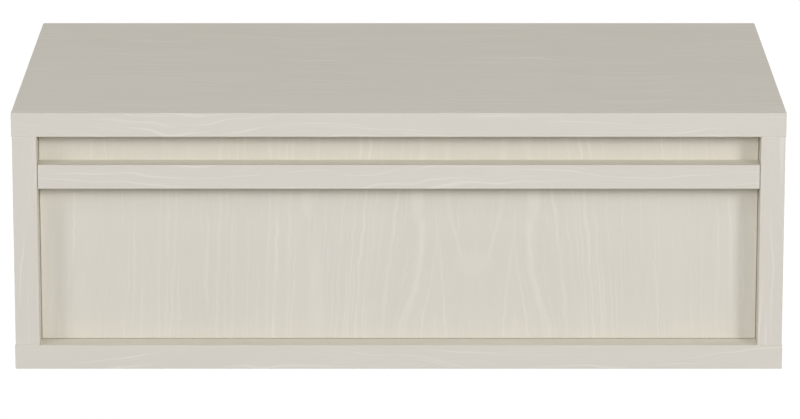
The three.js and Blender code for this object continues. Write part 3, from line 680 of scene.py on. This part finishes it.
def meshOf(name, points, faces):
    # a mesh from arrays, turned right way out: its faces' volume is positive when they point out
    corners = points[np.array([face[:3] for face in faces])]
    volume = np.einsum("ij,ij->i", corners[:, 0], np.cross(corners[:, 1], corners[:, 2])).sum()
    if volume < 0:
        faces = [face[::-1] for face in faces]
    mesh = bpy.data.meshes.new(name)
    mesh.from_pydata(points.tolist(), [], faces)
    mesh.shade_smooth()
    mesh.set_sharp_from_angle(angle=crispFrom)
    return mesh


# Sizes in mm: the head's depth, half the width of the shank, the tip's length and the thread's pitch
screwSizes = {
    "boardScrew": {"headDepth": 2.2, "shank": 2.0, "tip": 4.0, "pitch": 2.0, "domed": False},
    "domedScrew": {"headDepth": 2.4, "shank": 2.1, "tip": 4.0, "pitch": 2.2, "domed": True},
    "slideScrew": {"headDepth": 1.6, "shank": 1.75, "tip": 3.0, "pitch": 1.6, "domed": False},
}

screws = {
    # how the nodes' names start: which screw, and which way its head faces
    "cleat_screw_": ("boardScrew", (0, 1, 0)),
    "pull_screw_": ("boardScrew", (0, 1, 0)),
    "front_screw_": ("domedScrew", (0, 1, 0)),
    "left_case_slide_screw_": ("slideScrew", (1, 0, 0)),
    "right_case_slide_screw_": ("slideScrew", (-1, 0, 0)),
    "left_drawer_slide_screw_": ("slideScrew", (-1, 0, 0)),
    "right_drawer_slide_screw_": ("slideScrew", (1, 0, 0)),
}

screwForm = {
    "armShare": 0.56,  # length of an arm of the cross recess, of the head's radius
    "armWidthShare": 0.12,  # half its width, of the same
    "armDepthShare": 0.75,  # of the head's depth
    "armSideShare": 0.5,  # an arm's sides slope over this share of its half width
    "armEndShare": 0.4,  # and its end over this share of its length
    "threadDepthShare": 0.26,  # of the shank's radius
    "sides": 40,
    "headRings": 13,
    "ringsPerTurn": 6,
    "firstTurn": 0.5,  # radians by which the first cross is turned, and each next one more
    "nextTurn": 1.3,
}


def ramp01(values):
    return np.clip(values, 0.0, 1.0)


def headRings(angle, headRadius, headDepth, domed):
    # Radius and height of the head's top over (ring, angle), and the height at its middle. The height dips
    # by a cross, and the dip ramps up over an arm's sides and end: side is the distance to the middle line
    # of the nearer arm, and reach the way along it.
    share = np.linspace(0, 1, screwForm["headRings"] + 1)[1:, None]
    radius = share * headRadius * np.ones_like(angle)
    top = headDepth * np.sqrt(1 - share**2) if domed else np.zeros_like(share)
    side = np.minimum(abs(np.sin(angle)), abs(np.cos(angle))) * radius
    reach = np.maximum(abs(np.sin(angle)), abs(np.cos(angle))) * radius
    halfWidth, armLength = screwForm["armWidthShare"] * headRadius, screwForm["armShare"] * headRadius
    depth = screwForm["armDepthShare"] * headDepth
    inSide = ramp01((halfWidth - side) / (screwForm["armSideShare"] * halfWidth) + 0.5)
    inEnd = ramp01((armLength - reach) / (screwForm["armEndShare"] * armLength))
    return radius, top - depth * inSide * inEnd, top[0, 0] - depth


def shankRings(angle, shank, pitch, under, shankEnd):
    # Radius and height of the shank over (ring, angle). The radius dips by a thread: a triangle wave of
    # height / pitch plus angle / full turn, which fades in over the first turn.
    steps = int((under - shankEnd) / pitch * screwForm["ringsPerTurn"])
    heights = np.linspace(under, shankEnd, steps)[:, None]
    phase = heights / pitch + angle / (2 * np.pi)
    wave = abs(phase - np.floor(phase) - 0.5) * 2
    fade = ramp01((under - heights) / pitch)
    radius = shank * (1 - screwForm["threadDepthShare"] * (1 - wave) * fade)
    return radius, heights * np.ones_like(angle)


def screwMesh(name, headPlace, faces, headRadius, length, size, turn):
    # The head's rings, the shank's, one half way down the tip, and a point at each end. A ring's point is
    # the head's place, plus radius times the cosine and sine of the angle, plus height times the axis.
    angle = np.linspace(0, 2 * np.pi, screwForm["sides"], endpoint=False)[None, :]
    headDepth, shank, tip, pitch = (size[key] * mm for key in ("headDepth", "shank", "tip", "pitch"))
    under = 0.0 if size["domed"] else -headDepth
    shankEnd = tip - length + (headDepth if size["domed"] else 0.0)
    headR, headH, middleH = headRings(angle, headRadius, headDepth, size["domed"])
    shankR, shankH = shankRings(angle, shank, pitch, under, shankEnd)
    tipR, tipH = shankR[-1:] / 2, np.full_like(angle, shankEnd - tip / 2)

    radius = np.concatenate([headR, shankR, tipR])
    height = np.concatenate([headH, shankH, tipH])
    outward = np.array(faces, float)
    first = np.array([0.0, 0.0, 1.0])
    second = np.cross(outward, first)
    around = angle + turn
    ways = np.cos(around)[..., None] * first + np.sin(around)[..., None] * second
    rings = headPlace + radius[..., None] * ways + height[..., None] * outward
    ends = [headPlace + middleH * outward, headPlace + (shankEnd - tip) * outward]
    points = np.concatenate([rings.reshape(-1, 3), ends])
    count, sides = radius.shape
    index = np.arange(count * sides).reshape(count, sides)
    ahead = np.roll(index, -1, axis=1)
    quads = np.stack([index[:-1], ahead[:-1], ahead[1:], index[1:]], axis=-1).reshape(-1, 4)
    cap = np.stack([ahead[0], index[0], np.full(sides, count * sides)], axis=-1)
    foot = np.stack([index[-1], ahead[-1], np.full(sides, count * sides + 1)], axis=-1)
    return meshOf(name, points, quads.tolist() + cap.tolist() + foot.tolist())


def makeScrews():
    made = 0
    for prefix, (kind, faces) in screws.items():
        size = screwSizes[kind]
        names = sorted(n for n in nodes if n.startswith(prefix))
        for i, nodeName in enumerate(names):
            low, high = (np.array(corner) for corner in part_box(nodeName))
            axis = int(np.argmax(np.abs(faces)))
            length = high[axis] - low[axis]
            headRadius = (high[2] - low[2]) / 2
            place = (low + high) / 2
            place[axis] = high[axis] if faces[axis] > 0 else low[axis]
            if size["domed"]:
                place[axis] -= faces[axis] * size["headDepth"] * mm
            turn = screwForm["firstTurn"] + screwForm["nextTurn"] * i
            mesh = screwMesh(nodeName, place, faces, headRadius, length, size, turn)
            standIn(addObject(nodeName + "_fine", mesh), nodeName, zincSteel)
            made += 1
    print("screws:", made)


# The slides' sizes in mm: off is from the case side
slide = {
    "sheet": 1.0,
    "ball": 1.75,
    "ballPlay": 0.15,
    "outerBallsOff": 5.73,
    "raceSlope": 42,  # degrees, from the outer balls to the inner ones
    "outerCageOff": 1.55,
    "innerCageOff": 4.4,
    "innerCageGap": 1.05,  # from the outer balls' race to the inner cage's flange
    "cageSheet": 0.5,
    "cageBend": 0.6,
    "bendPoints": 9,
    "cageReach": 1.2,  # of a cage's flange past the middles of its balls
    "ballsInRow": 5,
    "ballSides": 24,
    "ballRings": 12,
}


def cageSizes():
    # where each cage's web, flange and balls are: off the case side, and above the slides' middle
    low, high = (np.array(corner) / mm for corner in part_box("left_slide_case_member"))
    raceRadius = slide["ball"] + slide["ballPlay"] + slide["sheet"] / 2
    outer = (slide["outerBallsOff"], (high[2] - low[2]) / 2 - slide["sheet"] / 2 - raceRadius)
    slope = math.radians(slide["raceSlope"])
    inner = (outer[0] + 2 * raceRadius * math.cos(slope), outer[1] - 2 * raceRadius * math.sin(slope))
    innerFlange = outer[1] - raceRadius - slide["innerCageGap"]
    place = {"caseSide": -low[0], "level": (low[2] + high[2]) / 2}
    return {
        "outer_ball_cage": {**place, "balls": outer, "web": slide["outerCageOff"], "flange": outer[1]},
        "inner_ball_cage": {**place, "balls": inner, "web": slide["innerCageOff"], "flange": innerFlange},
    }


def cageStrip(side, along, size):
    # A strip: its middle line (web, round corner, flange) with unit normals, mirrored below, both faces half
    # a sheet off, carried from one end to the other.
    bend = slide["cageBend"]
    turn = np.linspace(np.pi, np.pi / 2, slide["bendPoints"])
    u = np.append(size["web"] + bend + bend * np.cos(turn), size["balls"][0] + slide["cageReach"])
    v = np.append(size["flange"] - bend + bend * np.sin(turn), size["flange"])
    normal = np.append(np.stack([np.cos(turn), np.sin(turn)]), [[0.0], [1.0]], axis=1)
    line = np.concatenate([np.stack([u, -v])[:, ::-1], np.stack([u, v])], axis=1)
    out = np.concatenate([(normal * [[1], [-1]])[:, ::-1], normal], axis=1)
    half = slide["cageSheet"] / 2
    loop = np.concatenate([line + half * out, (line - half * out)[:, ::-1]], axis=1).T
    count = len(loop)
    across = side * (size["caseSide"] - loop[:, 0])
    up = size["level"] + loop[:, 1]
    points = np.concatenate([np.stack([across, np.full(count, y), up], axis=1) for y in along])
    index = np.arange(2 * count).reshape(2, count)
    ahead = np.roll(index, -1, axis=1)
    faces = np.stack([index[0], ahead[0], ahead[1], index[1]], axis=-1).tolist()
    pair = np.arange(count // 2 - 1)
    for offset, order in ((0, 1), (count, -1)):
        cap = np.stack([pair, pair + 1, count - 2 - pair, count - 1 - pair], axis=-1) + offset
        faces += cap[:, ::-order].tolist()
    return points, faces


def unitBall():
    # sine of one angle times cosine and sine of the other, and the cosine of the first, with closed poles
    sides, rings = slide["ballSides"], slide["ballRings"]
    theta = np.linspace(0, np.pi, rings + 1)[1:-1, None]
    phi = np.linspace(0, 2 * np.pi, sides, endpoint=False)[None, :]
    axes = [np.sin(theta) * np.cos(phi), np.sin(theta) * np.sin(phi), np.cos(theta) + 0 * phi]
    points = np.concatenate([np.stack(axes, axis=-1).reshape(-1, 3), [[0, 0, 1], [0, 0, -1]]])
    index = np.arange((rings - 1) * sides).reshape(rings - 1, sides)
    ahead = np.roll(index, -1, axis=1)
    pole = (rings - 1) * sides
    faces = np.stack([index[:-1], index[1:], ahead[1:], ahead[:-1]], axis=-1).reshape(-1, 4).tolist()
    faces += np.stack([index[0], ahead[0], np.full(sides, pole)], axis=-1).tolist()
    faces += np.stack([ahead[-1], index[-1], np.full(sides, pole + 1)], axis=-1).tolist()
    return points, faces


def cageMesh(name, side, along, size):
    # the strip, and a ball at each place in its two rows
    points, faces = cageStrip(side, along, size)
    ballPoints, ballFaces = unitBall()
    middle, length = sum(along) / 2, along[1] - along[0]
    outermost = (length - length / slide["ballsInRow"]) / 2
    off, above = size["balls"]
    for v in (-above, above):
        for offset in np.linspace(-outermost, outermost, slide["ballsInRow"]):
            centre = np.array([side * (size["caseSide"] - off), middle + offset, size["level"] + v])
            start = len(points)
            points = np.concatenate([points, centre + slide["ball"] * ballPoints])
            faces += [[start + corner for corner in face] for face in ballFaces]
    return meshOf(name, points * mm, faces)


def makeCages():
    made = 0
    for hand, side in (("left", -1), ("right", 1)):
        for kind, size in cageSizes().items():
            nodeName = f"{hand}_{kind}"
            low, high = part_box(nodeName)
            mesh = cageMesh(nodeName, side, (low.y / mm, high.y / mm), size)
            standIn(addObject(nodeName + "_fine", mesh), nodeName, bearingSteel)
            made += 1
    print("cages:", made, "with", made * 2 * slide["ballsInRow"], "balls")


weld = {"within": 0.001, "flatUnder": 1}  # mm, degrees


def mergedCopy(nodeName, dissolve):
    # the node's mesh with its loose triangles welded, and flat neighbours made one face if asked
    mesh = bpy.data.meshes.new(nodeName)
    work = bmesh.new()
    work.from_mesh(nodes[nodeName].data)
    bmesh.ops.remove_doubles(work, verts=work.verts, dist=weld["within"] * mm)
    if dissolve:
        flat = math.radians(weld["flatUnder"])
        bmesh.ops.dissolve_limit(work, angle_limit=flat, verts=work.verts, edges=work.edges)
    work.to_mesh(mesh)
    work.free()
    mesh.shade_smooth()
    mesh.set_sharp_from_angle(angle=crispFrom)
    return mesh


def makeMembers():
    names = [n for n in nodes if n.endswith("_member")]
    for nodeName in names:
        piece = addObject(nodeName + "_fine", mergedCopy(nodeName, dissolve=False))
        standIn(piece, nodeName, zincSteel)
    print("slide members:", len(names))


leverEdge = {"width": 0.5, "segments": 3, "from": 30}  # mm, steps, degrees


def makeLevers():
    hands = ("left", "right")
    for hand in hands:
        nodeName = hand + "_release_lever"
        piece = addObject(nodeName + "_fine", mergedCopy(nodeName, dissolve=True))
        edge = piece.modifiers.new("roundedEdges", "BEVEL")
        edge.width = leverEdge["width"] * mm
        edge.segments = leverEdge["segments"]
        edge.limit_method = "ANGLE"
        edge.angle_limit = math.radians(leverEdge["from"])
        standIn(piece, nodeName, blackAcetal)
    print("levers:", len(hands))


makeScrews()
makeCages()
makeMembers()
makeLevers()
